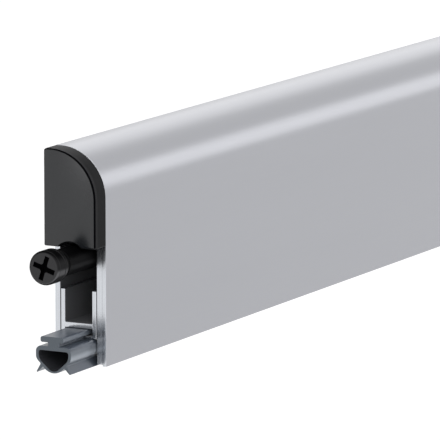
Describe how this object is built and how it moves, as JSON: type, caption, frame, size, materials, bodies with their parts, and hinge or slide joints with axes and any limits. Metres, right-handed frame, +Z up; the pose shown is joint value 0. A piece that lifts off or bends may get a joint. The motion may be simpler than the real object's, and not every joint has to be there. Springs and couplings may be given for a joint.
{
  "type": "automatic door bottom seal",
  "caption": "Slim aluminium door bottom seal with a spring-loaded side plunger, a cam-driven drop bar and a hollow rubber sealing strip.",
  "frame": {"origin": "midpoint between the two fixing holes, on the face that lies against the door", "axes": "+X along the door from the plunger end, +Y from the room into the door, +Z up"},
  "size_m": [0.3655, 0.014, 0.0533],
  "materials": {
    "aluminium": "satin anodised",
    "cap_plastic": "satin moulded",
    "knob_plastic": "satin moulded",
    "nylon": "moulded",
    "steel": "zinc plated",
    "brass": "turned",
    "rubber": "matte"
  },
  "bodies": {
    "housing": {"base_profile": "aluminium", "cover_profile": "aluminium", "end_cap_near": "cap_plastic", "end_cap_far": "cap_plastic", "guide_block": "nylon", "lift_guide_near": "nylon", "lift_guide_far": "nylon", "spring_stop_near": "nylon", "spring_stop_far": "nylon", "block_screws": "steel", "return_spring_near": "steel", "return_spring_far": "steel"},
    "push_bar": {"ferrule": "brass", "push_rod": "steel", "cam_slider_near": "nylon", "connecting_rod": "steel", "cam_slider_far": "nylon", "tail_rod": "steel"},
    "barrel": {"plunger_barrel": "knob_plastic"},
    "adjuster": {"adjuster_knob": "knob_plastic", "adjuster_stem": "steel", "retaining_ring": "steel"},
    "drop": {"drop_bar": "aluminium", "rubber_seal": "rubber", "lift_bracket_near": "steel", "lift_bracket_far": "steel", "cam_pin_near": "steel", "cam_pin_far": "steel", "bracket_rivets": "steel"}
  },
  "joints": [
    {"name": "plunger_push", "type": "slide", "parent": "housing", "child": "push_bar", "axis": [1, 0, 0], "range_m": [0, 0.012], "stiffness_N_per_m": 600, "springref_m": -0.01, "deforming": ["return_spring_near", "return_spring_far"]},
    {"name": "bar_drop", "type": "slide", "parent": "housing", "child": "drop", "axis": [0, 0, -1], "range_m": [0, 0.012]},
    {"name": "adjuster_travel", "type": "slide", "parent": "push_bar", "child": "barrel", "axis": [-1, 0, 0], "range_m": [0, 0.00315]},
    {"name": "adjuster_turn", "type": "hinge", "parent": "barrel", "child": "adjuster", "pos_m": [-0.18545, -0.007, -0.0166], "axis": [-1, 0, 0], "range_deg": [0, 1621]}
  ],
  "couplings": [
    {"joint": "bar_drop", "follows": "plunger_push", "ratio": 1},
    {"joint": "adjuster_turn", "follows": "adjuster_travel", "rad_per_m": 8976}
  ]
}
